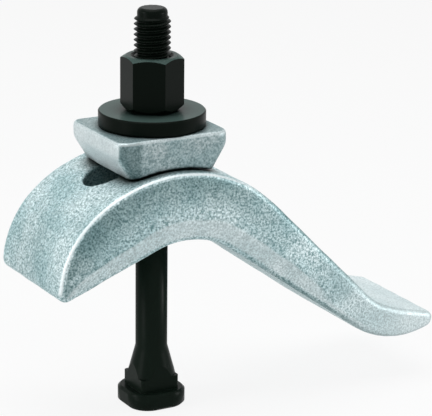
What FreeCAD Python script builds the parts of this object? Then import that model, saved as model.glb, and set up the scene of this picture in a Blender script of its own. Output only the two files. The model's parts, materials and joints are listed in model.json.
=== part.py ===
import FreeCAD, Part
import math
import os
import Sketcher
from FreeCAD import Rotation, Vector

# Arched clamp for a T-slot table: a drop-forged arm with a slot through its crown, a saddle
# that rides on the arch, a washer, a tall hexagon nut and a T-bolt.
# Millimetres, +Z up along the bolt, +X towards the long nose, the origin at the centre of the
# T-bolt's underside. The arm is stored tilted about the axis of its arch by arm_tilt degrees.

doc = FreeCAD.newDocument("arched_clamp")
sheet = doc.addObject("Spreadsheet::Sheet", "Sizes")

SIZES = [
    # T-bolt
    ("bolt_head_width", 20.4, "square head, across the flats"),
    ("bolt_head_corner", 7.4, "corner radius of the head"),
    ("bolt_head_height", 5.6, "underside to ledge"),
    ("bolt_head_chamfer", 0.8, "chamfer round both faces of the head"),
    ("neck_width", 13.8, "square neck, across the flats, for a 14 mm slot"),
    ("neck_corner", 1.2, "corner radius of the neck"),
    ("neck_height", 4.4, "ledge to the foot of the flare"),
    ("flare_radius", 8.0, "foot of the flare, before the neck's flats cut it"),
    ("flare_height", 10.0, "foot of the flare to the shank"),
    ("shank_radius", 5.3, "reduced shank"),
    ("thread_radius", 6.0, "M12 crest radius"),
    ("thread_length", 50.0, "threaded length, tip included"),
    ("bolt_length", 128.5, "ledge to tip"),
    ("tip_radius", 4.3, "flat of the chamfered tip"),
    ("tip_chamfer", 1.8, "height of the tip's chamfer"),
    # nut and washer
    ("nut_width", 18.0, "across the flats"),
    ("nut_height", 18.0, "one and a half times the thread diameter"),
    ("nut_face_radius", 8.4, "face left by the top chamfer"),
    ("nut_foot_radius", 8.1, "bearing face left by the lower chamfer"),
    ("nut_top_chamfer", 1.15, "height of the top chamfer at the corners"),
    ("nut_foot_chamfer", 1.9, "height of the lower chamfer at the corners"),
    ("nut_turn", 26.0, "angle of one corner from +X, degrees"),
    ("thread_clearance", 0.05, "radial, nut bore over the crests"),
    ("nut_countersink", 0.9, "mouths of the nut's bore"),
    ("washer_radius", 17.5, "outside"),
    ("washer_bore", 6.5, "bore radius"),
    ("washer_thickness", 5.0, "one face to the other"),
    ("washer_chamfer", 0.4, "outer edges"),
    # saddle
    ("saddle_length", 40.4, "along X at the top"),
    ("saddle_width", 36.0, "along Y"),
    ("saddle_crown", 10.9, "thickness over the crown of the arch"),
    ("saddle_land", 3.6, "upright land at each end"),
    ("saddle_blend", 5.0, "radius between land and undercut, more than saddle_corner"),
    ("saddle_tips", 30.4, "tip to tip along X"),
    ("saddle_corner", 4.2, "corner radius"),
    ("saddle_edge", 1.2, "rounding of the top edge"),
    ("saddle_bore", 7.6, "bore radius"),
    ("seat_clearance", 0.3, "saddle's hollow over the arch"),
    # arm, in its own level frame with the arch's axis as the origin
    ("arch_radius", 49.8, "top of the arch"),
    ("arch_height", 34.6, "arch axis above the T-bolt's underside"),
    ("arch_offset", -1.0, "arch axis from the bolt's axis along X"),
    ("arm_tilt", 14.6, "tilt of the stored arm, nose down, degrees"),
    ("arm_slope", 30.4, "slope of the straight arm's top, degrees"),
    ("nose_blend", 24.0, "hollow between arm and nose"),
    ("nose_top", 12.9, "flat top of the nose above the arch axis"),
    ("nose_reach", 99.6, "nose end from the arch axis"),
    ("nose_corner", 2.4, "rounding of the nose's end"),
    ("belly_radius", 32.0, "rounded pad under the nose"),
    ("belly_centre", 19.1, "lowest line of the pad inside the nose's end"),
    ("foot_height", 2.0, "toe and pad above the arch axis"),
    ("under_radius", 29.0, "hollow under the crown"),
    ("under_centre", 2.6, "its axis from the arch axis along X"),
    ("under_drop", 1.45, "its axis below the arch axis"),
    ("heel_radius", 34.0, "outside of the heel"),
    ("heel_turn", 50.5, "where the heel leaves the arch, degrees from the top"),
    ("toe_radius", 3.0, "rounded foot of the heel"),
    ("core_width", 44.4, "arm across its top edges"),
    ("draft_depth", 1.1, "each side, parting line proud of the top edges"),
    ("edge_round", 1.6, "rounding of the arm's long edges"),
    ("parting_offset", 6.7, "lower edge of the parting land over the underside"),
    ("parting_land", 1.4, "width of the parting land"),
    ("parting_heel", 2.8, "heel end of the land inside the heel"),
    ("parting_heel_up", 5.6, "heel end of the land above the toe"),
    ("parting_nose", 6.6, "nose end of the land inside the nose"),
    ("parting_nose_up", 5.7, "nose end of the land below the nose's flat"),
    ("parting_sweep", 85.0, "radius that levels the land's lower edge"),
    ("parting_top_sweep", 66.0, "radius that levels the land's upper edge"),
    ("parting_flat", 6.0, "level stretch of the upper edge"),
    ("parting_corner", 0.5, "corner radius at the nose end of the land"),
    ("slot_width", 14.0, "slot for the bolt"),
    ("slot_heel", 33.0, "heel end of the slot from the arch axis"),
    ("slot_nose", 12.8, "nose end of the slot from the arch axis"),
    ("slot_edge", 0.8, "broken edge round the slot's mouths"),
]

size = {}
for row, (alias, value, note) in enumerate(SIZES, start=1):
    sheet.set(f"A{row}", alias)
    sheet.set(f"B{row}", str(value))
    sheet.set(f"C{row}", note)
    sheet.setAlias(f"B{row}", alias)
    size[alias] = value
doc.recompute()

SEAT = "(Sizes.arch_height + Sizes.arch_radius + Sizes.seat_clearance + Sizes.saddle_crown)"
FLARE_FOOT = "(Sizes.bolt_head_height + Sizes.neck_height)"
NUT_CORNER = "(Sizes.nut_width / 2 / cos(30 deg))"
HEEL_OFFSET = "((Sizes.arch_radius - Sizes.heel_radius) * sin(Sizes.heel_turn * 1 deg))"
heel_offset = (size["arch_radius"] - size["heel_radius"]) * math.sin(math.radians(size["heel_turn"]))


# Points are (x, y) in a sketch's own plane; on the XZ plane y is the model's Z.

def line(p, q):
    return {"shape": Part.LineSegment(Vector(*p, 0), Vector(*q, 0)), "first": 1, "last": 2}


def arc(centre, radius, p, q, turn):
    """An arc from p to q; turn is 1 anticlockwise and -1 clockwise."""
    start, end = (p, q) if turn > 0 else (q, p)
    low = math.atan2(start[1] - centre[1], start[0] - centre[0])
    high = math.atan2(end[1] - centre[1], end[0] - centre[0])
    if high <= low:
        high += 2 * math.pi
    circle = Part.Circle(Vector(*centre, 0), Vector(0, 0, 1), radius)
    first, last = (1, 2) if turn > 0 else (2, 1)
    return {"shape": Part.ArcOfCircle(circle, low, high), "first": first, "last": last}


def shift(point, direction, distance):
    return (point[0] + direction[0] * distance, point[1] + direction[1] * distance)


def towards(start, end):
    length = math.hypot(end[0] - start[0], end[1] - start[1])
    return ((end[0] - start[0]) / length, (end[1] - start[1]) / length)


def crossing_normal(upper, lower, reach, side):
    """Unit normal of the line under one circle and over another, reach = sum of radii."""
    dx, dy = upper[0] - lower[0], upper[1] - lower[1]
    angle = math.atan2(dy, dx) + side * math.acos(reach / math.hypot(dx, dy))
    return (math.cos(angle), math.sin(angle))


def new_body(name):
    body = doc.addObject("PartDesign::Body", name)
    body.Label = name
    return body


def new_sketch(body, name, role, offset=None):
    """A sketch on one of the body's origin planes, moved along its normal by offset."""
    sketch = body.newObject("Sketcher::SketchObject", name)
    plane = [p for p in body.Origin.OriginFeatures if p.Role == role][0]
    sketch.AttachmentSupport = [(plane, "")]
    sketch.MapMode = "FlatFace"
    if offset:
        sketch.setExpression("AttachmentOffset.Base.z", offset)
    return sketch


def rule(sketch, *what):
    sketch.addConstraint(Sketcher.Constraint(*what))


def dim(sketch, name, expression, *where):
    """A named driving dimension, bound to the sheet."""
    value = sketch.evalExpression(expression)
    value = float(getattr(value, "Value", value))
    index = sketch.addConstraint(Sketcher.Constraint(*where, value))
    sketch.renameConstraint(index, name)
    sketch.setExpression("Constraints." + name, expression)


def smooth_loop(sketch, pieces):
    """Adds the pieces as one closed outline, each tangent to the next; returns their ids."""
    ids = [sketch.addGeometry(piece["shape"], False) for piece in pieces]
    for k, piece in enumerate(pieces):
        after = (k + 1) % len(pieces)
        rule(sketch, "Tangent", ids[k], piece["last"], ids[after], pieces[after]["first"])
    return ids


def polygon(sketch, points):
    """Adds a closed outline of straight edges; returns their ids."""
    ids = []
    for p, q in zip(points, points[1:] + points[:1]):
        ids.append(sketch.addGeometry(line(p, q)["shape"], False))
    for before, after in zip(ids, ids[1:] + ids[:1]):
        rule(sketch, "Coincident", before, 2, after, 1)
    return ids


def centred_circle(sketch, name, expression):
    radius = float(sketch.evalExpression(expression))
    ring = sketch.addGeometry(Part.Circle(Vector(0, 0, 0), Vector(0, 0, 1), radius), False)
    rule(sketch, "Coincident", ring, 3, -1, 1)
    dim(sketch, name, expression, "Radius", ring)


def rounded_square(sketch, width, corner):
    """A centred square with rounded corners; width and corner are aliases."""
    half = size[width] / 2
    flat = half - size[corner]
    pieces = []
    for x, y in ((1, 0), (0, 1), (-1, 0), (0, -1)):
        side_from = (half * x + flat * y, half * y - flat * x)
        side_to = (half * x - flat * y, half * y + flat * x)
        centre = (flat * (x - y), flat * (x + y))
        bend_to = (centre[0] - y * size[corner], centre[1] + x * size[corner])
        pieces.append(line(side_from, side_to))
        pieces.append(arc(centre, size[corner], side_to, bend_to, 1))
    ids = smooth_loop(sketch, pieces)
    for k in (0, 4):
        rule(sketch, "Vertical", ids[k])
        rule(sketch, "Horizontal", ids[k + 2])
    rule(sketch, "Equal", ids[0], ids[2])
    for k in (1, 3, 5):
        rule(sketch, "Equal", ids[k], ids[k + 2])
    rule(sketch, "Symmetric", ids[1], 3, ids[5], 3, -1, 1)
    dim(sketch, "corner", "Sizes." + corner, "Radius", ids[1])
    dim(sketch, "across", "Sizes." + width, "DistanceX", ids[4], 1, ids[0], 1)


def edges_where(shape, test):
    return [f"Edge{i}" for i, edge in enumerate(shape.Edges, start=1) if test(edge)]


def dress(body, kind, name, base, edges, expression):
    """A Fillet or a Chamfer on the named edges of base."""
    feature = body.newObject("PartDesign::" + kind, name)
    feature.Base = (base, edges)
    feature.setExpression("Radius" if kind == "Fillet" else "Size", expression)
    doc.recompute()
    return feature


def pad(body, name, sketch, expression, side="One side"):
    feature = body.newObject("PartDesign::Pad", name)
    feature.Profile = sketch
    feature.SideType = side
    feature.setExpression("Length", expression)
    doc.recompute()
    return feature


def cut(body, kind, name, sketch, expression=None, side="Symmetric", flip=False):
    """A Pocket along Z or a Groove about Z; it has to take material away."""
    before = body.Shape.Volume
    feature = body.newObject("PartDesign::" + kind, name)
    feature.Profile = sketch
    if kind == "Pocket":
        feature.SideType = side
        feature.Reversed = flip
        feature.setExpression("Length", expression)
    else:
        feature.ReferenceAxis = (sketch, ["V_Axis"])
        feature.Angle = 360.0
    doc.recompute()
    if feature.Shape.Volume > before - 1.0:
        raise RuntimeError(name + " cut nothing")
    return feature


def turned(body, name, sketch):
    feature = body.newObject("PartDesign::Revolution", name)
    feature.Profile = sketch
    feature.ReferenceAxis = (sketch, ["V_Axis"])
    feature.Angle = 360.0
    doc.recompute()
    return feature


def make_t_bolt():
    body = new_body("t_bolt")
    outline = new_sketch(body, "bolt_head_outline", "XY_Plane")
    rounded_square(outline, "bolt_head_width", "bolt_head_corner")
    head = pad(body, "bolt_head", outline, "Sizes.bolt_head_height")
    rims = edges_where(head.Shape, lambda e: e.BoundBox.ZLength < 1e-6)
    dress(body, "Chamfer", "bolt_head_edges", head, rims, "Sizes.bolt_head_chamfer")

    outline = new_sketch(body, "neck_outline", "XY_Plane")
    rounded_square(outline, "neck_width", "neck_corner")
    pad(body, "neck", outline, FLARE_FOOT)

    # The flare is a cone, cut back by the neck's four flats.
    foot = size["bolt_head_height"] + size["neck_height"]
    top = foot + size["flare_height"]
    section = new_sketch(body, "flare_section", "XZ_Plane")
    ids = polygon(section, [(0, foot), (size["flare_radius"], foot),
                            (size["shank_radius"], top), (0, top)])
    rule(section, "Horizontal", ids[0])
    rule(section, "Horizontal", ids[2])
    rule(section, "Vertical", ids[3])
    rule(section, "PointOnObject", ids[0], 1, -2)
    dim(section, "foot", FLARE_FOOT, "DistanceY", -1, 1, ids[0], 1)
    dim(section, "rise", "Sizes.flare_height", "DistanceY", ids[1], 1, ids[1], 2)
    dim(section, "foot_radius", "Sizes.flare_radius", "DistanceX", ids[0], 1, ids[0], 2)
    dim(section, "top_radius", "Sizes.shank_radius", "DistanceX", ids[2], 2, ids[2], 1)
    turned(body, "flare", section)
    outline = new_sketch(body, "flare_trim", "XY_Plane", FLARE_FOOT)
    rounded_square(outline, "neck_width", "neck_corner")
    centred_circle(outline, "clear", "Sizes.bolt_head_width")
    cut(body, "Pocket", "flare_flats", outline, "Sizes.flare_height", "One side", True)

    tip = size["bolt_head_height"] + size["bolt_length"]
    thread_foot = tip - size["thread_length"]
    runout = size["thread_radius"] - size["shank_radius"]
    section = new_sketch(body, "stem_section", "XZ_Plane")
    ids = polygon(section, [(0, foot), (size["shank_radius"], foot),
                            (size["shank_radius"], thread_foot - runout),
                            (size["thread_radius"], thread_foot),
                            (size["thread_radius"], tip - size["tip_chamfer"]),
                            (size["tip_radius"], tip), (0, tip)])
    rule(section, "Horizontal", ids[0])
    rule(section, "Horizontal", ids[5])
    for k in (1, 3, 6):
        rule(section, "Vertical", ids[k])
    rule(section, "PointOnObject", ids[0], 1, -2)
    dim(section, "foot", FLARE_FOOT, "DistanceY", -1, 1, ids[0], 1)
    dim(section, "shank", "Sizes.shank_radius", "DistanceX", ids[0], 1, ids[0], 2)
    dim(section, "crest", "Sizes.thread_radius", "DistanceX", -1, 1, ids[3], 1)
    dim(section, "flat", "Sizes.tip_radius", "DistanceX", ids[5], 2, ids[5], 1)
    dim(section, "tip", "Sizes.bolt_head_height + Sizes.bolt_length",
        "DistanceY", -1, 1, ids[6], 1)
    dim(section, "chamfer", "Sizes.tip_chamfer", "DistanceY", ids[3], 2, ids[4], 2)
    dim(section, "threaded", "Sizes.thread_length", "DistanceY", ids[3], 1, ids[4], 2)
    dim(section, "runout", "Sizes.thread_radius - Sizes.shank_radius",
        "DistanceY", ids[1], 2, ids[2], 2)
    body.Tip = turned(body, "stem", section)
    return body


def make_washer():
    body = new_body("washer")
    outline = new_sketch(body, "washer_outline", "XY_Plane")
    centred_circle(outline, "outside", "Sizes.washer_radius")
    centred_circle(outline, "bore", "Sizes.washer_bore")
    disc = pad(body, "disc", outline, "Sizes.washer_thickness")
    rims = edges_where(disc.Shape, lambda e: isinstance(e.Curve, Part.Circle)
                       and e.Curve.Radius > size["washer_bore"] + 1)
    body.Tip = dress(body, "Chamfer", "washer_edges", disc, rims, "Sizes.washer_chamfer")
    body.setExpression("Placement.Base.z", SEAT)
    return body


def make_nut():
    body = new_body("nut")
    corner = size["nut_width"] / 2 / math.cos(math.pi / 6)
    outline = new_sketch(body, "hexagon", "XY_Plane")
    ids = polygon(outline, [(corner * math.cos(k * math.pi / 3), corner * math.sin(k * math.pi / 3))
                            for k in range(6)])
    guide = outline.addGeometry(Part.Circle(Vector(0, 0, 0), Vector(0, 0, 1), corner), True)
    rule(outline, "Coincident", guide, 3, -1, 1)
    for k in range(6):
        rule(outline, "PointOnObject", ids[k], 1, guide)
    for k in range(5):
        rule(outline, "Equal", ids[k], ids[k + 1])
    rule(outline, "PointOnObject", ids[0], 1, -1)
    dim(outline, "corner", NUT_CORNER, "Radius", guide)
    pad(body, "hexagon_block", outline, "Sizes.nut_height")

    # Both chamfers are turned away round the corners; each section runs 1 mm past them.
    wide = corner + 1
    top = size["nut_height"]
    section = new_sketch(body, "chamfer_section", "XZ_Plane")
    for name, face, fall, level, way in (
            ("top", "nut_face_radius", "nut_top_chamfer", top, -1),
            ("foot", "nut_foot_radius", "nut_foot_chamfer", 0, 1)):
        drop = (wide - size[face]) * size[fall] / (corner - size[face])
        ids = polygon(section, [(size[face], level), (wide, level), (wide, level + way * drop)])
        rule(section, "Horizontal", ids[0])
        rule(section, "Vertical", ids[1])
        dim(section, name + "_face", "Sizes." + face, "DistanceX", -1, 1, ids[0], 1)
        dim(section, name + "_wide", NUT_CORNER + " + 1", "DistanceX", -1, 1, ids[1], 1)
        ends = (ids[1], 1, ids[1], 2) if way > 0 else (ids[1], 2, ids[1], 1)
        dim(section, name + "_drop", f"({NUT_CORNER} + 1 - Sizes.{face}) * Sizes.{fall}"
            f" / ({NUT_CORNER} - Sizes.{face})", "DistanceY", *ends)
        if level:
            dim(section, name, "Sizes.nut_height", "DistanceY", -1, 1, ids[0], 1)
        else:
            rule(section, "PointOnObject", ids[0], 1, -1)
    cut(body, "Groove", "corner_chamfers", section)

    outline = new_sketch(body, "nut_bore_outline", "XY_Plane")
    centred_circle(outline, "bore", "Sizes.thread_radius + Sizes.thread_clearance")
    bore = cut(body, "Pocket", "nut_bore", outline, "Sizes.nut_height * 3")
    mouths = edges_where(bore.Shape, lambda e: isinstance(e.Curve, Part.Circle)
                         and e.Curve.Radius < size["nut_foot_radius"] - 1
                         and e.BoundBox.ZLength < 1e-6)
    body.Tip = dress(body, "Chamfer", "nut_countersinks", bore, mouths, "Sizes.nut_countersink")
    body.Placement.Rotation = Rotation(Vector(0, 0, 1), size["nut_turn"])
    body.setExpression("Placement.Rotation.Angle", "Sizes.nut_turn")
    body.setExpression("Placement.Base.z", SEAT + " + Sizes.washer_thickness")
    return body


def make_saddle():
    body = new_body("saddle")
    half = size["saddle_length"] / 2
    tip_x = size["saddle_tips"] / 2
    hollow = size["arch_radius"] + size["seat_clearance"]
    axis_z = -size["saddle_crown"] - hollow
    tip_z = axis_z + math.sqrt(hollow ** 2 - tip_x ** 2)
    blend = size["saddle_blend"]

    # Right-hand end: the land, a small blend, then the undercut to the tip.
    centre = (half - blend, -size["saddle_land"])
    reach = math.hypot(tip_x - centre[0], tip_z - centre[1])
    angle = math.atan2(tip_z - centre[1], tip_x - centre[0]) + math.acos(blend / reach)
    touch = shift(centre, (math.cos(angle), math.sin(angle)), blend)
    land_foot = (half, -size["saddle_land"])

    def other(p):
        return (-p[0], p[1])
    section = new_sketch(body, "saddle_section", "XZ_Plane")
    pieces = [line((half, 0), (-half, 0)),
              line((-half, 0), other(land_foot)),
              arc(other(centre), blend, other(land_foot), other(touch), 1),
              line(other(touch), (-tip_x, tip_z)),
              arc((0, axis_z), hollow, (-tip_x, tip_z), (tip_x, tip_z), -1),
              line((tip_x, tip_z), touch),
              arc(centre, blend, touch, land_foot, 1),
              line(land_foot, (half, 0))]
    ids = [section.addGeometry(piece["shape"], False) for piece in pieces]
    for k in (1, 2, 5, 6):
        rule(section, "Tangent", ids[k], pieces[k]["last"], ids[k + 1], pieces[k + 1]["first"])
    for k in (0, 3, 4, 7):
        after = (k + 1) % 8
        rule(section, "Coincident", ids[k], pieces[k]["last"],
             ids[after], pieces[after]["first"])
    rule(section, "PointOnObject", ids[0], 1, -1)
    rule(section, "Vertical", ids[1])
    rule(section, "Vertical", ids[7])
    rule(section, "PointOnObject", ids[4], 3, -2)
    rule(section, "Symmetric", ids[0], 1, ids[0], 2, -2)
    rule(section, "Horizontal", ids[4], 1, ids[4], 2)
    rule(section, "Equal", ids[1], ids[7])
    rule(section, "Equal", ids[2], ids[6])
    dim(section, "length", "Sizes.saddle_length", "DistanceX", ids[0], 2, ids[0], 1)
    dim(section, "land", "Sizes.saddle_land", "DistanceY", ids[7], 1, ids[7], 2)
    dim(section, "blend", "Sizes.saddle_blend", "Radius", ids[6])
    dim(section, "tips", "Sizes.saddle_tips", "DistanceX", ids[3], 2, ids[5], 1)
    dim(section, "hollow", "Sizes.arch_radius + Sizes.seat_clearance", "Radius", ids[4])
    dim(section, "axis", "Sizes.saddle_crown + Sizes.arch_radius + Sizes.seat_clearance",
        "DistanceY", ids[4], 3, -1, 1)
    block = pad(body, "saddle_block", section, "Sizes.saddle_width", "Symmetric")

    corners = edges_where(block.Shape, lambda e: e.BoundBox.YLength < 1e-6
                          and min(abs(e.BoundBox.XMin), abs(e.BoundBox.XMax)) > tip_x - 0.1
                          and e.BoundBox.XLength < tip_x)
    rounded = dress(body, "Fillet", "saddle_corners", block, corners, "Sizes.saddle_corner")
    rim = edges_where(rounded.Shape, lambda e: e.BoundBox.ZMin > -1e-6)
    dress(body, "Fillet", "saddle_rim", rounded, rim, "Sizes.saddle_edge")
    outline = new_sketch(body, "saddle_bore_outline", "XY_Plane")
    centred_circle(outline, "bore", "Sizes.saddle_bore")
    body.Tip = cut(body, "Pocket", "saddle_bore", outline, "Sizes.saddle_width * 2")
    body.setExpression("Placement.Base.x", "Sizes.arch_offset")
    body.setExpression("Placement.Base.z", SEAT)
    return body


def draw_side(sketch, inset):
    """The arm's side outline, drawn inset by an alias (or by nothing) all the way round.

    Anticlockwise from the nose's flat: hollow, straight arm, arch, heel, toe, underside,
    hollow under the crown, underside, belly, and the nose's rounded end.
    """
    gap = size[inset] if inset else 0.0
    less = f" - Sizes.{inset}" if inset else ""
    more = f" + Sizes.{inset}" if inset else ""
    slope = math.radians(size["arm_slope"])
    arch = size["arch_radius"] - gap
    flat_z = size["nose_top"] - gap
    end_x = size["nose_reach"] - gap
    bend = size["nose_blend"] + gap
    tip = size["nose_corner"] - gap
    belly = size["belly_radius"] - gap
    under = size["under_radius"] + gap
    toe = size["toe_radius"] - gap
    heel = size["heel_radius"] - gap

    lean = (math.sin(slope), math.cos(slope))
    bend_z = flat_z + bend
    bend_c = ((arch + bend - bend_z * lean[1]) / lean[0], bend_z)
    belly_c = (size["nose_reach"] - size["belly_centre"], size["foot_height"] + size["belly_radius"])
    under_c = (size["under_centre"], -size["under_drop"])
    low_tip_z = belly_c[1] - math.sqrt((belly - tip) ** 2 - (end_x - tip - belly_c[0]) ** 2)
    low_tip_c = (end_x - tip, low_tip_z)
    heel_c = (-heel_offset, heel_offset / math.tan(math.radians(size["heel_turn"])))
    toe_z = size["foot_height"] + size["toe_radius"]
    toe_reach = size["heel_radius"] - size["toe_radius"]
    toe_c = (heel_c[0] - math.sqrt(toe_reach ** 2 - (heel_c[1] - toe_z) ** 2), toe_z)

    nose_n = crossing_normal(belly_c, under_c, belly + under, 1)
    heel_n = crossing_normal(toe_c, under_c, toe + under, -1)
    arm_top = shift((0, 0), lean, arch)
    arm_foot = shift(bend_c, lean, -bend)
    crown = shift((0, 0), towards((0, 0), heel_c), arch)
    heel_foot = shift(toe_c, towards(heel_c, toe_c), toe)
    belly_end = shift(low_tip_c, towards(belly_c, low_tip_c), tip)

    pieces = [
        line((end_x - tip, flat_z), (bend_c[0], flat_z)),
        arc(bend_c, bend, (bend_c[0], flat_z), arm_foot, -1),
        line(arm_foot, arm_top),
        arc((0, 0), arch, arm_top, crown, 1),
        arc(heel_c, heel, crown, heel_foot, 1),
        arc(toe_c, toe, heel_foot, shift(toe_c, heel_n, -toe), 1),
        line(shift(toe_c, heel_n, -toe), shift(under_c, heel_n, under)),
        arc(under_c, under, shift(under_c, heel_n, under), shift(under_c, nose_n, under), -1),
        line(shift(under_c, nose_n, under), shift(belly_c, nose_n, -belly)),
        arc(belly_c, belly, shift(belly_c, nose_n, -belly), belly_end, 1),
        arc(low_tip_c, tip, belly_end, (end_x, low_tip_c[1]), 1),
        line((end_x, low_tip_c[1]), (end_x, flat_z - tip)),
        arc((end_x - tip, flat_z - tip), tip, (end_x, flat_z - tip), (end_x - tip, flat_z), 1),
    ]
    ids = smooth_loop(sketch, pieces)
    flat, hollow, straight, top, back, foot, rear, vault, fore, pad_arc, low, end, high = ids
    rule(sketch, "Horizontal", flat)
    rule(sketch, "Vertical", end)
    rule(sketch, "Equal", low, high)
    rule(sketch, "Coincident", top, 3, -1, 1)
    dim(sketch, "arch", "Sizes.arch_radius" + less, "Radius", top)
    dim(sketch, "slope", f"(Sizes.arch_radius{less}) * sin(Sizes.arm_slope * 1 deg)",
        "DistanceX", -1, 1, straight, 2)
    dim(sketch, "flat", "Sizes.nose_top" + less, "DistanceY", -1, 1, flat, 1)
    dim(sketch, "bend", "Sizes.nose_blend" + more, "Radius", hollow)
    dim(sketch, "end", "Sizes.nose_reach" + less, "DistanceX", -1, 1, end, 1)
    dim(sketch, "tip", "Sizes.nose_corner" + less, "Radius", high)
    dim(sketch, "belly", "Sizes.belly_radius" + less, "Radius", pad_arc)
    dim(sketch, "belly_x", "Sizes.nose_reach - Sizes.belly_centre",
        "DistanceX", -1, 1, pad_arc, 3)
    dim(sketch, "belly_z", "Sizes.foot_height + Sizes.belly_radius",
        "DistanceY", -1, 1, pad_arc, 3)
    dim(sketch, "under", "Sizes.under_radius" + more, "Radius", vault)
    dim(sketch, "under_x", "Sizes.under_centre", "DistanceX", -1, 1, vault, 3)
    dim(sketch, "under_z", "Sizes.under_drop", "DistanceY", vault, 3, -1, 1)
    dim(sketch, "toe", "Sizes.toe_radius" + less, "Radius", foot)
    dim(sketch, "toe_z", "Sizes.foot_height + Sizes.toe_radius", "DistanceY", -1, 1, foot, 3)
    dim(sketch, "heel", "Sizes.heel_radius" + less, "Radius", back)
    dim(sketch, "heel_x", HEEL_OFFSET, "DistanceX", back, 3, -1, 1)


def draw_parting_land(sketch):
    """The forging's parting land, a narrow band with one edge for each edge of the side."""
    cap = size["parting_land"] / 2
    corner = size["parting_corner"]
    low = size["under_radius"] + size["parting_offset"]
    high = low + size["parting_land"]
    under_c = (size["under_centre"], -size["under_drop"])
    heel_c = (size["parting_heel"] - size["heel_radius"] - heel_offset,
              size["foot_height"] + size["parting_heel_up"])
    nose_x = size["nose_reach"] - size["parting_nose"]
    low_z = size["nose_top"] - size["parting_nose_up"]
    high_z = low_z + size["parting_land"]
    flat_x = nose_x - size["parting_flat"]
    low_sweep = size["parting_sweep"]
    high_sweep = size["parting_top_sweep"]
    low_c = (nose_x, low_z + low_sweep)
    high_c = (flat_x, high_z + high_sweep)
    heel_n = crossing_normal(heel_c, under_c, low + cap, -1)
    low_n = crossing_normal(low_c, under_c, low + low_sweep, 1)
    high_n = crossing_normal(high_c, under_c, high + high_sweep, 1)

    pieces = [
        line((nose_x, high_z), (flat_x, high_z)),
        arc(high_c, high_sweep, (flat_x, high_z), shift(high_c, high_n, -high_sweep), -1),
        line(shift(high_c, high_n, -high_sweep), shift(under_c, high_n, high)),
        arc(under_c, high, shift(under_c, high_n, high), shift(under_c, heel_n, high), 1),
        line(shift(under_c, heel_n, high), shift(heel_c, heel_n, cap)),
        arc(heel_c, cap, shift(heel_c, heel_n, cap), shift(heel_c, heel_n, -cap), 1),
        line(shift(heel_c, heel_n, -cap), shift(under_c, heel_n, low)),
        arc(under_c, low, shift(under_c, heel_n, low), shift(under_c, low_n, low), -1),
        line(shift(under_c, low_n, low), shift(low_c, low_n, -low_sweep)),
        arc(low_c, low_sweep, shift(low_c, low_n, -low_sweep), (nose_x, low_z), 1),
        arc((nose_x, low_z + corner), corner, (nose_x, low_z),
            (nose_x + corner, low_z + corner), 1),
        line((nose_x + corner, low_z + corner), (nose_x + corner, high_z - corner)),
        arc((nose_x, high_z - corner), corner, (nose_x + corner, high_z - corner),
            (nose_x, high_z), 1),
    ]
    ids = smooth_loop(sketch, pieces)
    flat, upper, fall, top, back, heel, rear, vault, fore, lower, low_end, end, high_end = ids
    rule(sketch, "Horizontal", flat)
    rule(sketch, "Vertical", end)
    rule(sketch, "Equal", low_end, high_end)
    rule(sketch, "Coincident", top, 3, vault, 3)
    dim(sketch, "vault", "Sizes.under_radius + Sizes.parting_offset", "Radius", vault)
    dim(sketch, "top", "Sizes.under_radius + Sizes.parting_offset + Sizes.parting_land",
        "Radius", top)
    dim(sketch, "vault_x", "Sizes.under_centre", "DistanceX", -1, 1, vault, 3)
    dim(sketch, "vault_z", "Sizes.under_drop", "DistanceY", vault, 3, -1, 1)
    dim(sketch, "heel", "Sizes.parting_land / 2", "Radius", heel)
    dim(sketch, "heel_x", f"Sizes.heel_radius + {HEEL_OFFSET} - Sizes.parting_heel",
        "DistanceX", heel, 3, -1, 1)
    dim(sketch, "heel_z", "Sizes.foot_height + Sizes.parting_heel_up",
        "DistanceY", -1, 1, heel, 3)
    dim(sketch, "lower", "Sizes.parting_sweep", "Radius", lower)
    dim(sketch, "lower_x", "Sizes.nose_reach - Sizes.parting_nose",
        "DistanceX", -1, 1, lower, 3)
    dim(sketch, "lower_z", "Sizes.nose_top - Sizes.parting_nose_up + Sizes.parting_sweep",
        "DistanceY", -1, 1, lower, 3)
    dim(sketch, "upper", "Sizes.parting_top_sweep", "Radius", upper)
    dim(sketch, "upper_x", "Sizes.nose_reach - Sizes.parting_nose - Sizes.parting_flat",
        "DistanceX", -1, 1, upper, 3)
    dim(sketch, "flat_z", "Sizes.nose_top - Sizes.parting_nose_up + Sizes.parting_land",
        "DistanceY", -1, 1, flat, 1)
    dim(sketch, "corner", "Sizes.parting_corner", "Radius", high_end)
    dim(sketch, "end_x", "Sizes.nose_reach - Sizes.parting_nose + Sizes.parting_corner",
        "DistanceX", -1, 1, end, 1)


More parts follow.
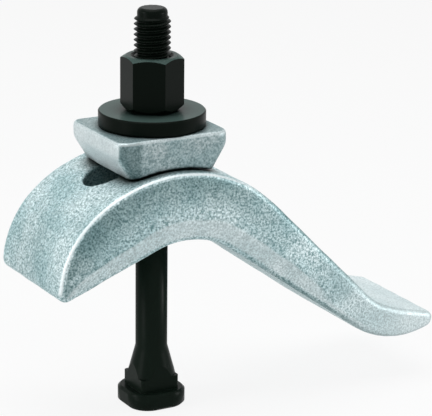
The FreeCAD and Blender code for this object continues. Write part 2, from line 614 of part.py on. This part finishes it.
def make_clamp_arm():
    body = new_body("clamp_arm")
    side = new_sketch(body, "arm_side", "XZ_Plane")
    draw_side(side, None)
    core = pad(body, "arm_core", side, "Sizes.core_width", "Symmetric")
    half = size["core_width"] / 2
    outline = edges_where(core.Shape, lambda e: e.BoundBox.YLength < 1e-6
                          and abs(abs(e.BoundBox.YMin) - half) < 1e-6)
    dress(body, "Fillet", "arm_edges", core, outline, "Sizes.edge_round")

    # Each side swells from the rounded edges to the parting land: the dies' draft.
    root = new_sketch(body, "draft_root", "XZ_Plane", "Sizes.core_width / 2")
    draw_side(root, "edge_round")
    land = new_sketch(body, "parting_land", "XZ_Plane", "Sizes.core_width / 2 + Sizes.draft_depth")
    draw_parting_land(land)
    doc.recompute()
    draft = body.newObject("PartDesign::AdditiveLoft", "side_draft")
    draft.Profile = root
    draft.Sections = [land]
    draft.Ruled = True
    doc.recompute()
    mirror = body.newObject("PartDesign::Mirrored", "far_side_draft")
    mirror.Originals = [draft]
    mirror.MirrorPlane = (side, [""])
    body.Tip = mirror
    doc.recompute()

    mouth = new_sketch(body, "slot_outline", "XY_Plane")
    rear = size["slot_width"] / 2 - size["slot_heel"]
    fore = size["slot_nose"] - size["slot_width"] / 2
    rim = size["slot_width"] / 2
    ids = smooth_loop(mouth, [
        line((rear, -rim), (fore, -rim)),
        arc((fore, 0), rim, (fore, -rim), (fore, rim), 1),
        line((fore, rim), (rear, rim)),
        arc((rear, 0), rim, (rear, rim), (rear, -rim), 1)])
    rule(mouth, "Horizontal", ids[0])
    rule(mouth, "PointOnObject", ids[1], 3, -1)
    rule(mouth, "Equal", ids[1], ids[3])
    dim(mouth, "half_width", "Sizes.slot_width / 2", "Radius", ids[1])
    dim(mouth, "fore", "Sizes.slot_nose - Sizes.slot_width / 2", "DistanceX", -1, 1, ids[1], 3)
    dim(mouth, "rear", "Sizes.slot_heel - Sizes.slot_width / 2", "DistanceX", ids[3], 3, -1, 1)
    slot = cut(body, "Pocket", "bolt_slot", mouth, "Sizes.arch_radius * 4")
    body.Tip = slot
    doc.recompute()
    mouths = edges_where(slot.Shape, lambda e: e.BoundBox.XLength > 1e-6
                         and max(-e.BoundBox.YMin, e.BoundBox.YMax) < rim + 1e-3)
    dress(body, "Chamfer", "slot_mouths", slot, mouths, "Sizes.slot_edge")

    body.Placement.Rotation = Rotation(Vector(0, 1, 0), size["arm_tilt"])
    body.setExpression("Placement.Rotation.Angle", "Sizes.arm_tilt")
    body.setExpression("Placement.Base.x", "Sizes.arch_offset")
    body.setExpression("Placement.Base.z", "Sizes.arch_height")
    return body


bodies = [make_t_bolt(), make_clamp_arm(), make_saddle(), make_washer(), make_nut()]
doc.recompute()

for item in doc.Objects:
    if "Invalid" in item.State or "Error" in item.State:
        raise RuntimeError(f"{item.Name} failed: {item.State}")
for body in bodies:
    if body.Shape.isNull() or not body.Shape.isValid() or len(body.Shape.Solids) != 1:
        raise RuntimeError(body.Label + " is not one valid solid")

os.makedirs("parts", exist_ok=True)
for body in bodies:
    body.Shape.exportStep(f"parts/{body.Label}.step")
    print(body.Label, round(body.Shape.Volume, 1), body.Shape.BoundBox)
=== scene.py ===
import json
import math

import bmesh
import bpy
from mathutils import Matrix, Vector, noise as lumps


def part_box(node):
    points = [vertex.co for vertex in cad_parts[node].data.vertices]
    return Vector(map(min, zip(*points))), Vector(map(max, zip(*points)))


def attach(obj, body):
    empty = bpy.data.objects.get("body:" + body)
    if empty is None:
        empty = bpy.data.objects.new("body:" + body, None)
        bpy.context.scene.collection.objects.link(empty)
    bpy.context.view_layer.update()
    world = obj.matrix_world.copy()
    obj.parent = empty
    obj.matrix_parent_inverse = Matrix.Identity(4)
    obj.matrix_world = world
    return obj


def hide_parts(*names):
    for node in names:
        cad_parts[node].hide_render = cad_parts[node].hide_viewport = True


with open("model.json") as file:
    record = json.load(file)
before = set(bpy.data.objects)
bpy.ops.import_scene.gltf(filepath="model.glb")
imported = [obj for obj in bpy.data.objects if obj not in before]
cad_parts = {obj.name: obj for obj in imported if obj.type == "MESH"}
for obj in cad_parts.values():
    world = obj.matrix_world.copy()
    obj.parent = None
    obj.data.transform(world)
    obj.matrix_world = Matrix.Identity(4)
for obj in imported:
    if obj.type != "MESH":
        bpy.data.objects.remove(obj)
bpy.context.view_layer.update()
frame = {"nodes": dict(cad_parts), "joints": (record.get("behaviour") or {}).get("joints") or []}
nodes = frame["nodes"]
joints = {joint["name"]: joint for joint in frame["joints"]}

# Metres, in the frame of the CAD part: +Z along the T-bolt, +X towards the long nose.
MM = 0.001

# The T-bolt. Its tip comes from the frame; crest, shank and threaded length are the CAD part's.
BOLT_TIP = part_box("t_bolt")[1][2]
THREAD_LENGTH = 50.0 * MM
# The first full crest, to a micrometre, as the frame's corners are in single precision.
THREAD_FOOT = round(BOLT_TIP - THREAD_LENGTH, 6)
RUNOUT = 1.6 * MM                # from the shank up to that crest
THREAD_PITCH = 1.75 * MM
THREAD_CREST = 6.0 * MM
THREAD_ROOT = 4.93 * MM
SHANK_RADIUS = 5.3 * MM
CREST_FLAT = 0.06                # the crest's share of half a pitch
FLANK_WIDTH = 0.80               # the flank's share of it; the rest is root
ROOT_FROM = 0.8                  # share of the depth beyond which the groove is rounded
ROOT_CURVE = 1.6                 # and how fully
WINDING_STEPS = 72               # around the bolt, for each turn
PITCH_STEPS = 12                 # along the bolt, for each pitch
SPARE_TURNS = 2                  # wound beyond either end, and cut off again
BLANK_LAP = 0.05 * MM            # the blank reaches this far up into the runout
TIP_RADIUS = 3.5 * MM            # flat end of the bolt
TIP_ROUND = 1.6 * MM             # height of the rounding under it
TIP_PLAIN = 2.7 * MM             # length of the tip without a thread
WELD = 1e-6                      # points nearer than this are one
CUT_TOLERANCE = 1e-7

# The forged pieces.
ARM_GRID = 0.7 * MM              # the arm is remeshed to this grid
SADDLE_GRID = 0.49 * MM          # and the saddle to this finer one
SOFTENING = 5                    # rounds of smoothing, which break the edges
FORGED_WAVE = 7.0 * MM           # width of the hammered lumps
FORGED_DEPTH = 0.25 * MM         # and how deep they lie under the CAD surface
CORE_HALF = 22.2 * MM            # the arm's sides swell from here out to the parting land
NOSE_FADE = (38.0 * MM, 62.0 * MM)     # that swelling dies out between these two, along +X
HEEL_FADE = (37.0 * MM, 43.0 * MM)     # and between these two, along -X

# Places on the arm, from the axis of its arch, about which it rocks.
ARCH_AXIS = Vector(joints["arm_rock"]["pos_m"])
SLOT_MIDDLE = ARCH_AXIS + Vector((-3.0, 0.0, 33.4)) * MM
HEEL_LIGHT = ARCH_AXIS + Vector((-45.0, -8.0, -10.6)) * MM     # painted pale light, low on the heel
HEEL_PATCH = ARCH_AXIS + Vector((-37.0, 4.0, 21.4)) * MM       # dull, high on the heel

# The camera as it stands in the photograph.
CAMERA_AZIMUTH = -29.36          # degrees
CAMERA_ELEVATION = 16.98
CAMERA_ROLL = 0.66
CAMERA_DISTANCE = 800 * MM
CAMERA_TARGET = Vector((24.10, 0.0, 63.78)) * MM
CAMERA_LENS = 200.8              # millimetres of lens
CAMERA_SENSOR = 36.0             # millimetres across
CAMERA_NEAR = 10 * MM

SKY = (0.95, 0.98, 1.0)
AMBIENT = 0.2                    # the sky's strength as light
FLOOR = (0.85, 0.85, 0.85)
FLOOR_WHITE = 0.88               # share of plain white in the floor as it is seen
FLOOR_WIDTH = 12.0
LAMP_TARGET = Vector((20.0, 0.0, 60.0)) * MM
LAMPS = (                        # name, place, diameter and watts
    ("overhead", (0.0, 0.05, 0.95), 0.9, 5.6),
    ("left", (-0.9, 0.15, 0.45), 0.4, 2.5),
    ("right", (0.45, -0.30, 0.14), 0.15, 0.8),
    ("low_left", (-0.55, -0.05, 0.04), 0.2, 0.45),
)


# ---------------------------------------------------------------- shader nodes

# A colour mix has sockets of several kinds with the same names; these are the colour ones.
MIX_SHARE, MIX_FIRST, MIX_SECOND = 0, 6, 7
MIX_RESULT = 2
AO_SAMPLES = 8
BEVEL_SAMPLES = 6
NOISE_DETAIL = 2.0
WHITE = (1.0, 1.0, 1.0)          # colours are red, green and blue from 0 to 1


def new_material(name, base, metallic, roughness):
    material = bpy.data.materials.new(name)
    material.use_nodes = True
    shader = material.node_tree.nodes["Principled BSDF"]
    shader.inputs["Base Color"].default_value = (*base, 1.0)
    shader.inputs["Metallic"].default_value = metallic
    shader.inputs["Roughness"].default_value = roughness
    return material, shader


def add(owner, kind, inputs=None, **settings):
    """A node of a material or world; inputs maps a socket to a value or to another socket."""
    node = owner.node_tree.nodes.new("ShaderNode" + kind)
    for key, value in settings.items():
        setattr(node, key, value)
    for socket, value in (inputs or {}).items():
        if isinstance(value, bpy.types.NodeSocket):
            owner.node_tree.links.new(value, node.inputs[socket])
        else:
            node.inputs[socket].default_value = value
    return node


def maths(owner, operation, first, second=0.0):
    return add(owner, "Math", {0: first, 1: second}, operation=operation).outputs[0]


def times(owner, first, second):
    return maths(owner, "MULTIPLY", first, second)


def greater(owner, first, second):
    return maths(owner, "MAXIMUM", first, second)


def step(material, value, start, end, low=0.0, high=1.0):
    """low up to start, high from end on, and smooth between them."""
    node = add(material, "MapRange", {"Value": value, "From Min": start, "From Max": end,
                                      "To Min": low, "To Max": high},
               interpolation_type="SMOOTHSTEP")
    return node.outputs[0]


def fade_out(material, value, start, end):
    """1 up to start, 0 from end on, and smooth between them."""
    return step(material, value, start, end, 1.0, 0.0)


def between(material, value, rise, fall, high=1.0):
    """0 up to rise, high from there to fall, and 0 beyond it; rise and fall are (start, end)."""
    return times(material, step(material, value, *rise, high=high),
                 fade_out(material, value, *fall))


def position(material):
    """Where the point that is shaded lies on the piece at rest, in metres."""
    return add(material, "TexCoord").outputs["Object"]


def place_along(material, axis):
    return add(material, "SeparateXYZ", {"Vector": position(material)}).outputs[axis]


def near(material, centre, inner, outer):
    """1 within inner of a point of the piece, and 0 beyond outer."""
    gap = add(material, "VectorMath", {0: position(material), 1: centre}, operation="DISTANCE")
    return fade_out(material, gap.outputs["Value"], inner, outer)


def facing(material, axis):
    """How much of the surface normal lies along an axis, from -1 to 1."""
    normal = add(material, "NewGeometry").outputs["Normal"]
    return add(material, "SeparateXYZ", {"Vector": normal}).outputs[axis]


def facing_either_way(material, axis):
    return maths(material, "ABSOLUTE", facing(material, axis))


def noise(material, grain, rough=0.55):
    """Noise whose lumps are grain metres across, fixed to the piece."""
    return add(material, "TexNoise", {"Vector": position(material), "Scale": 1.0 / grain,
                                      "Detail": NOISE_DETAIL, "Roughness": rough}).outputs["Fac"]


def ramp(material, fac, *stops):
    """Colours along fac; each of the two stops is (where, colour)."""
    node = add(material, "ValToRGB", {"Fac": fac})
    for element, (where, colour) in zip(node.color_ramp.elements, stops):
        element.position = where
        element.color = (*colour, 1.0)
    return node.outputs["Color"]


def rgba(colour):
    """A socket stays as it is; red, green and blue get an alpha of 1."""
    return colour if isinstance(colour, bpy.types.NodeSocket) else (*colour, 1.0)


def tint(material, colour, other, share=1.0, blend="MULTIPLY"):
    """One colour multiplied by another, or mixed with it, in the share given."""
    return add(material, "Mix", {MIX_FIRST: rgba(colour), MIX_SECOND: rgba(other),
                                 MIX_SHARE: share},
               data_type="RGBA", blend_type=blend).outputs[MIX_RESULT]


def openness(material, distance):
    """0 deep in a corner, 1 where nothing is within the distance."""
    node = add(material, "AmbientOcclusion", {"Distance": distance}, samples=AO_SAMPLES)
    return node.outputs["AO"]


def paint(obj, material):
    obj.data.materials.clear()
    obj.data.materials.append(material)


# ---------------------------------------------------------------- zinc on the arm and saddle

ZINC = (0.5, 0.62, 0.63)
ZINC_GRAIN = (0.80, 0.92, 0.94)
ZINC_CLOUD = (0.68, 0.78, 0.79)
# Painted in as shade, and on the arm also as a duller patch of the coat
ZINC_SHADE_AND_DULL = (0.45, 0.53, 0.53)
# Painted in as highlight and light
ZINC_PAINTED_LIGHT = (0.86, 0.92, 0.93)
ARM_PITS = (0.15, 0.27, 0.28)
SADDLE_PITS = (0.28, 0.40, 0.41)
GRAIN = 0.65 * MM                # width of the grains of the coat
CLOUD = 14 * MM                  # width of its paler and darker clouds
BLAST = 0.7 * MM                 # width of the dents under it
BLAST_DEPTH = 0.25 * MM
CORNER_SHADE = (0.004, 0.016, 0.01)    # painted shade in corners
CORNER_SHADE_REACH = 12 * MM

# Zones along the arm, from the bolt's axis along +X: where each begins and ends to fade.
# These place the painted highlight and painted shade on the arm.
RIM_HIGHLIGHT_ENDS = (10 * MM, 36 * MM)
RIM_SHADE_BEGINS = (20 * MM, 40 * MM)
SIDE_SHADE_ENDS = (10 * MM, 48 * MM)
NOSE_LIGHT = (45 * MM, 92 * MM)
# Zones across its surface, by how far that faces the side: 0 on its top, 1 on its side.
ARM_SIDE = (0.93, 0.98)
RIM_HIGHLIGHT = (0.15, 0.40), (0.78, 0.90)
RIM_SHADE = (0.15, 0.35), (0.88, 0.97)
SLOT_TO_SIDE = (9 * MM, 12 * MM)       # from the middle plane to either side
UPPER_SIDE = (36 * MM, 47 * MM)        # from the arch's axis
# Zones of the saddle's painted highlight and painted shade.
SADDLE_RIM = (0.12, 0.35), (0.85, 0.95)
SADDLE_CORNER = (-14 * MM, -12 * MM)   # along +X


def galvanised(name, painted_light, shade_and_dull, tone, pits):
    """Hot-dip zinc over a shot-blasted forging: a pale blue-grey coat with a fine grain.

    The two masks after the name each take the material and give a share of 0 to 1: the
    first where a pale colour is painted in as highlight and light, the second where a darker
    colour is painted in as shade, and on the arm also for a duller patch of the coat. tone is
    the whole coat's level, and pits the colour between its pale grains.
    """
    material, shader = new_material(name, ZINC, metallic=0.4, roughness=0.48)
    shader.inputs["Specular IOR Level"].default_value = 0.3
    link = material.node_tree.links.new
    grain = ramp(material, noise(material, GRAIN, 0.6), (0.33, pits), (0.66, ZINC_GRAIN))
    cloud = ramp(material, noise(material, CLOUD, 0.5),
                 (0.38, tuple(tone * part for part in ZINC_CLOUD)), (0.62, (tone, tone, tone)))
    coat = tint(material, grain, cloud)
    # Painted shade, and on the arm also a duller patch of the coat
    coat = tint(material, coat, ZINC_SHADE_AND_DULL, shade_and_dull(material))
    # Painted highlight and painted light
    coat = tint(material, coat, ZINC_PAINTED_LIGHT, painted_light(material), "MIX")
    # Painted shade in corners, where other surfaces lie near
    corner_shade = ramp(material, openness(material, CORNER_SHADE_REACH), (0.42, CORNER_SHADE), (0.74, WHITE))
    link(tint(material, coat, corner_shade), shader.inputs["Base Color"])
    dents = add(material, "Bump", {"Height": noise(material, BLAST, 0.6),
                                   "Strength": 0.35, "Distance": BLAST_DEPTH})
    link(dents.outputs["Normal"], shader.inputs["Normal"])
    return material


def from_arch(material):
    """The way out from the arch's axis to the surface, in the plane of the arm's side."""
    out = add(material, "VectorMath", {0: position(material), 1: ARCH_AXIS}, operation="SUBTRACT")
    return add(material, "VectorMath", {0: out.outputs[0], 1: (1.0, 0.0, 1.0)},
               operation="MULTIPLY").outputs[0]


def leaning_in(material):
    """1 on the arm's sides below the parting land, which lean in to the hollow; 0 above it."""
    out = add(material, "VectorMath", {0: from_arch(material)}, operation="NORMALIZE").outputs[0]
    normal = add(material, "NewGeometry").outputs["Normal"]
    lean = add(material, "VectorMath", {0: normal, 1: out}, operation="DOT_PRODUCT")
    return fade_out(material, lean.outputs["Value"], -0.06, 0.03)


def off_middle(material):
    """1 on the arm's outer sides, 0 in the slot along its middle."""
    return step(material, maths(material, "ABSOLUTE", place_along(material, "Y")), *SLOT_TO_SIDE)


def sideways(material):
    """How far the arm's surface faces its side, 0 to 1; the rounded rim lies between those."""
    return times(material, facing_either_way(material, "Y"), off_middle(material))


def arm_painted_light(material):
    """Where a pale colour is painted in: painted highlight and painted light.

    These are the rim from the heel to the crown, the sides below the parting land as a painted
    reflection of the floor, the nose, and a place low on the heel.
    """
    side = sideways(material)
    along = place_along(material, "X")
    # Painted highlight on the rim
    rim = between(material, side, *RIM_HIGHLIGHT, high=0.8)
    rim = times(material, rim, step(material, facing(material, "Z"), -0.2, 0.1))
    rim = times(material, rim, fade_out(material, along, *RIM_HIGHLIGHT_ENDS))
    # Painted reflection of the floor on the sides below the parting land
    lower = times(material, step(material, side, *ARM_SIDE),
                  times(material, leaning_in(material), 0.38))
    # Painted light on the nose
    nose = step(material, along, *NOSE_LIGHT, high=0.5)
    # Painted pale light low on the heel
    heel_light = times(material, times(material, near(material, HEEL_LIGHT, 8 * MM, 26 * MM), 0.45),
                  fade_out(material, side, 0.6, 0.9))
    return greater(material, greater(material, rim, lower), greater(material, nose, heel_light))


def arm_painted_shade_and_dull(material):
    """Painted shade on the sides under the rim, on the rim beyond the crown and in the slot.

    A patch on the heel is a duller part of the coat itself.
    """
    side = sideways(material)
    along = place_along(material, "X")
    inside = maths(material, "SUBTRACT", 1.0, off_middle(material))
    # Painted shade in the slot
    slot = times(material, times(material, inside, near(material, SLOT_MIDDLE, 20 * MM, 23 * MM)),
                 fade_out(material, facing_either_way(material, "Z"), 0.45, 0.75))
    out = add(material, "VectorMath", {0: from_arch(material)}, operation="LENGTH")
    # Painted shade on the upper sides, fading out along +X
    upper = times(material, step(material, side, *ARM_SIDE),
                  step(material, out.outputs["Value"], *UPPER_SIDE))
    upper = times(material, upper, fade_out(material, along, *SIDE_SHADE_ENDS))
    # Painted shade over the rim's highlight beyond the crown
    rim = times(material, between(material, side, *RIM_SHADE),
                step(material, along, *RIM_SHADE_BEGINS, high=0.9))
    # A duller patch of the coat itself
    patch = times(material, near(material, HEEL_PATCH, 6 * MM, 19 * MM), 0.35)
    return greater(material, greater(material, upper, rim), greater(material, patch, slot))


def saddle_painted_light(material):
    """Painted highlight on the rounded rim of the saddle's top, and painted light on its ends."""
    rim = between(material, facing(material, "Z"), *SADDLE_RIM, high=0.35)
    ends = step(material, facing_either_way(material, "X"), 0.75, 0.85, high=0.5)
    return greater(material, rim, ends)


def saddle_painted_shade(material):
    """Painted shade on the saddle's top, and on its front and back by the heel-side corners."""
    top = step(material, facing(material, "Z"), 0.96, 0.99, high=0.5)
    corner = times(material, step(material, facing_either_way(material, "Y"), 0.45, 0.7),
                   step(material, place_along(material, "X"), *SADDLE_CORNER, 1.0, 0.15))
    return greater(material, top, corner)


# ---------------------------------------------------------------- black oxide on the rest

BLACK = (0.003, 0.006, 0.004)
# A paler black, for the bolt below its thread
PALE_BLACK = (0.007, 0.013, 0.009)
# Painted sheen on faces that look up
PAINTED_SHEEN = (0.06, 0.10, 0.09)
SHEEN_REACH = 9 * MM              # painted shade on the sheen within this of what stands on it
EDGE_RADIUS = 0.25 * MM          # edges shine as if rounded this much
TOOL_MARKS = 0.5 * MM            # their width
TOOL_MARK_DEPTH = 0.1 * MM


def black_oxide(name, base, upward=None):
    """Blackened steel with a thin film of oil; upward is a painted sheen on faces that look up."""
    material, shader = new_material(name, base, metallic=0.0, roughness=0.3)
    link = material.node_tree.links.new
    shader.inputs["IOR"].default_value = 1.12
    if upward:
        # Painted sheen on faces that look up, thinning as painted shade near what stands on them
        share = times(material, step(material, facing(material, "Z"), 0.72, 0.84),
                      step(material, openness(material, SHEEN_REACH), 0.45, 0.95, low=0.15))
        link(tint(material, base, upward, share, "MIX"), shader.inputs["Base Color"])
    rounded = add(material, "Bevel", {"Radius": EDGE_RADIUS}, samples=BEVEL_SAMPLES)
    marks = add(material, "Bump", {"Height": noise(material, TOOL_MARKS),
                                   "Strength": 0.12, "Distance": TOOL_MARK_DEPTH,
                                   "Normal": rounded.outputs["Normal"]})
    link(marks.outputs["Normal"], shader.inputs["Normal"])
    return material


# ---------------------------------------------------------------- the T-bolt with its thread

def finished(mesh, name):
    """An object of the scene with this name, made of the mesh that was worked on."""
    data = bpy.data.meshes.new(name)
    mesh.to_mesh(data)
    mesh.free()
    obj = bpy.data.objects.new(name, data)
    bpy.context.scene.collection.objects.link(obj)
    return obj


def cut_off(mesh, height, up):
    """Takes away what is above a height, or below it where up is -1, and closes the cut."""
    whole = list(mesh.verts) + list(mesh.edges) + list(mesh.faces)
    sliced = bmesh.ops.bisect_plane(mesh, geom=whole, dist=CUT_TOLERANCE, clear_outer=True,
                                    plane_co=(0, 0, height), plane_no=(0, 0, up))
    rim = [part for part in sliced["geom_cut"] if isinstance(part, bmesh.types.BMEdge)]
    bmesh.ops.contextual_create(mesh, geom=rim)


def thread_profile(place):
    """Radius over one pitch, for a place of 0 to 1: a crest at both ends, a groove between."""
    from_crest = 1.0 - abs(place - 0.5) * 2.0
    depth = min(1.0, max(0.0, (from_crest - CREST_FLAT) / FLANK_WIDTH))
    if depth > ROOT_FROM:
        depth = 1.0 - (1.0 - depth) ** ROOT_CURVE
    return THREAD_CREST - (THREAD_CREST - THREAD_ROOT) * depth


def point_radius(depth):
    """Radius this far below the tip: a rounded end, a plain stretch, then a rise to the crest."""
    if depth < TIP_ROUND:
        rise = math.sqrt(1.0 - (1.0 - max(0.0, depth) / TIP_ROUND) ** 2)
        return TIP_RADIUS + (THREAD_ROOT - TIP_RADIUS) * rise
    return THREAD_ROOT + max(0.0, depth - TIP_PLAIN)


def envelope(height):
    """The largest radius at a height: the runout at the thread's foot and the point at the tip."""
    risen = (height - THREAD_FOOT + RUNOUT) / RUNOUT
    runout = SHANK_RADIUS + (THREAD_CREST - SHANK_RADIUS) * risen
    return max(TIP_RADIUS, min(THREAD_CREST, runout, point_radius(BOLT_TIP - height)))


def make_thread():
    """The screw thread as one closed piece, wound as a helical strip and cut off at both ends."""
    foot = THREAD_FOOT - RUNOUT
    turns = int((BOLT_TIP - foot) / THREAD_PITCH) + 2 * SPARE_TURNS
    mesh = bmesh.new()
    rows = []
    for count in range(turns * WINDING_STEPS + 1):
        wound = count / WINDING_STEPS
        angle = 2 * math.pi * wound
        row = []
        for k in range(PITCH_STEPS + 1):
            z = foot + THREAD_PITCH * (wound + k / PITCH_STEPS - SPARE_TURNS)
            radius = min(thread_profile(k / PITCH_STEPS), envelope(z))
            row.append(mesh.verts.new((radius * math.cos(angle), radius * math.sin(angle), z)))
        rows.append(row)
    for row, following in zip(rows, rows[1:]):
        for k in range(PITCH_STEPS):
            mesh.faces.new((row[k], following[k], following[k + 1], row[k + 1]))
    bmesh.ops.remove_doubles(mesh, verts=mesh.verts, dist=WELD)
    cut_off(mesh, foot, -1)
    cut_off(mesh, BOLT_TIP, 1)
    bmesh.ops.recalc_face_normals(mesh, faces=mesh.faces)
    return finished(mesh, "bolt_thread")


def make_blank(node):
    """The T-bolt below its thread: a copy of the CAD piece, cut off where the runout starts."""
    mesh = bmesh.new()
    mesh.from_mesh(node.data)
    bmesh.ops.remove_doubles(mesh, verts=mesh.verts, dist=WELD)
    cut_off(mesh, THREAD_FOOT - RUNOUT + BLANK_LAP, 1)
    return finished(mesh, "bolt_blank")


# ---------------------------------------------------------------- the forged pieces

def forged(node, grid):
    """A copy of a CAD piece with softened edges, and shallow lumps that lie under its surface."""
    mesh = bmesh.new()
    mesh.from_mesh(node.data)
    bmesh.ops.remove_doubles(mesh, verts=mesh.verts, dist=WELD)
    obj = finished(mesh, "forged_" + node.name)
    even = obj.modifiers.new("even", "REMESH")
    even.mode = "VOXEL"
    even.voxel_size = grid
    soft = obj.modifiers.new("soft", "SMOOTH")
    soft.iterations = SOFTENING
    data = bpy.data.meshes.new_from_object(obj.evaluated_get(bpy.context.evaluated_depsgraph_get()))
    obj.modifiers.clear()
    obj.data = data
    # Read before any vertex moves, since each move makes Blender work out all normals again.
    points = [(vertex.co.copy(), vertex.normal.copy()) for vertex in data.vertices]
    for vertex, (point, normal) in zip(data.vertices, points):
        wave = 0.5 + 0.5 * lumps.noise(point / FORGED_WAVE)
        vertex.co = point - normal * FORGED_DEPTH * wave
    data.polygons.foreach_set("use_smooth", [True] * len(data.polygons))
    return obj


def smooth_share(value, start, end):
    """0 up to start, 1 from end on, and smooth between them."""
    share = min(1.0, max(0.0, (value - start) / (end - start)))
    return share * share * (3.0 - 2.0 * share)


def flatten_ends(piece):
    """The swelling of the arm's sides dies out before the nose and the heel, which are flat."""
    for vertex in piece.data.vertices:
        fade = max(smooth_share(vertex.co.x, *NOSE_FADE), smooth_share(-vertex.co.x, *HEEL_FADE))
        swell = max(0.0, abs(vertex.co.y) - CORE_HALF)
        vertex.co.y -= math.copysign(swell * fade, vertex.co.y)


def finish_piece(piece, body, node):
    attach(piece, body)
    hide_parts(node)


# ---------------------------------------------------------------- camera, floor and light

def camera_axes():
    """Right, up and back of the camera as it stands in the photograph."""
    azimuth, elevation = math.radians(CAMERA_AZIMUTH), math.radians(CAMERA_ELEVATION)
    right = Vector((math.cos(azimuth), math.sin(azimuth), 0.0))
    back = Vector((math.sin(azimuth) * math.cos(elevation),
                   -math.cos(azimuth) * math.cos(elevation), math.sin(elevation)))
    roll = Matrix.Rotation(math.radians(CAMERA_ROLL), 3, back)
    return roll @ right, roll @ back.cross(right), back


def make_camera():
    right, up, back = camera_axes()
    data = bpy.data.cameras.new("camera")
    data.lens = CAMERA_LENS
    data.sensor_width = CAMERA_SENSOR
    data.clip_start = CAMERA_NEAR
    camera = bpy.data.objects.new("camera", data)
    stand = Matrix((right, up, back)).transposed().to_4x4()
    stand.translation = CAMERA_TARGET + back * CAMERA_DISTANCE
    camera.matrix_world = stand
    bpy.context.scene.collection.objects.link(camera)
    bpy.context.scene.camera = camera


def seen_directly(owner):
    """1 for camera, glossy and transmission rays, which show the white background itself."""
    path = add(owner, "LightPath").outputs
    seen = path["Is Camera Ray"]
    for other in ("Is Glossy Ray", "Is Transmission Ray"):
        seen = greater(owner, seen, path[other])
    return seen


def make_floor():
    """A matt, pale floor; seen directly it is nearly plain white, with only a faint shadow."""
    bpy.ops.mesh.primitive_plane_add(size=FLOOR_WIDTH)
    floor = bpy.context.object
    floor.name = "floor"
    material, shader = new_material("floor", FLOOR, metallic=0.0, roughness=0.9)
    shader.inputs["Specular IOR Level"].default_value = 0.0
    share = times(material, seen_directly(material), FLOOR_WHITE)
    glow = add(material, "Emission", {"Color": (*WHITE, 1.0), "Strength": 1.0})
    mix = add(material, "MixShader", {0: share, 1: shader.outputs[0], 2: glow.outputs[0]})
    output = material.node_tree.nodes["Material Output"]
    material.node_tree.links.new(mix.outputs[0], output.inputs["Surface"])
    paint(floor, material)


def make_world():
    """A faint, bluish sky as light, which is plain white where it is seen directly."""
    world = bpy.data.worlds.new("studio")
    bpy.context.scene.world = world
    world.use_nodes = True
    sky = world.node_tree.nodes["Background"]
    sky.inputs["Color"].default_value = (*SKY, 1.0)
    sky.inputs["Strength"].default_value = AMBIENT
    white = add(world, "Background", {"Color": (*WHITE, 1.0)})
    mix = add(world, "MixShader", {0: seen_directly(world), 1: sky.outputs[0],
                                   2: white.outputs[0]})
    output = world.node_tree.nodes["World Output"]
    world.node_tree.links.new(mix.outputs[0], output.inputs["Surface"])


def make_lamp(name, place, size, power):
    data = bpy.data.lights.new(name, "AREA")
    data.shape = "DISK"
    data.size = size
    data.energy = power
    lamp = bpy.data.objects.new(name, data)
    lamp.location = place
    aim = LAMP_TARGET - Vector(place)
    lamp.rotation_euler = aim.to_track_quat("-Z", "Y").to_euler()
    bpy.context.scene.collection.objects.link(lamp)


# ---------------------------------------------------------------- the scene

black = black_oxide("black_oxide", BLACK)
pale_black = black_oxide("black_oxide_pale", PALE_BLACK)
# Washer and nut: black oxide with a painted sheen on faces that look up
sheen_black = black_oxide("black_oxide_painted_sheen", BLACK, PAINTED_SHEEN)

arm = forged(nodes["clamp_arm"], ARM_GRID)
flatten_ends(arm)
paint(arm, galvanised("galvanised_arm", arm_painted_light, arm_painted_shade_and_dull, tone=1.08, pits=ARM_PITS))
finish_piece(arm, "arm", "clamp_arm")

saddle = forged(nodes["saddle"], SADDLE_GRID)
paint(saddle, galvanised("galvanised_saddle", saddle_painted_light, saddle_painted_shade,
                         tone=0.74, pits=SADDLE_PITS))
finish_piece(saddle, "saddle", "saddle")

paint(nodes["t_bolt"], black)
for name in ("washer", "nut"):
    paint(nodes[name], sheen_black)
for piece, coat in ((make_blank(nodes["t_bolt"]), pale_black), (make_thread(), black)):
    paint(piece, coat)
    finish_piece(piece, "bolt", "t_bolt")

make_camera()
make_floor()
make_world()
for lamp in LAMPS:
    make_lamp(*lamp)
bpy.context.scene.view_settings.view_transform = "Standard"
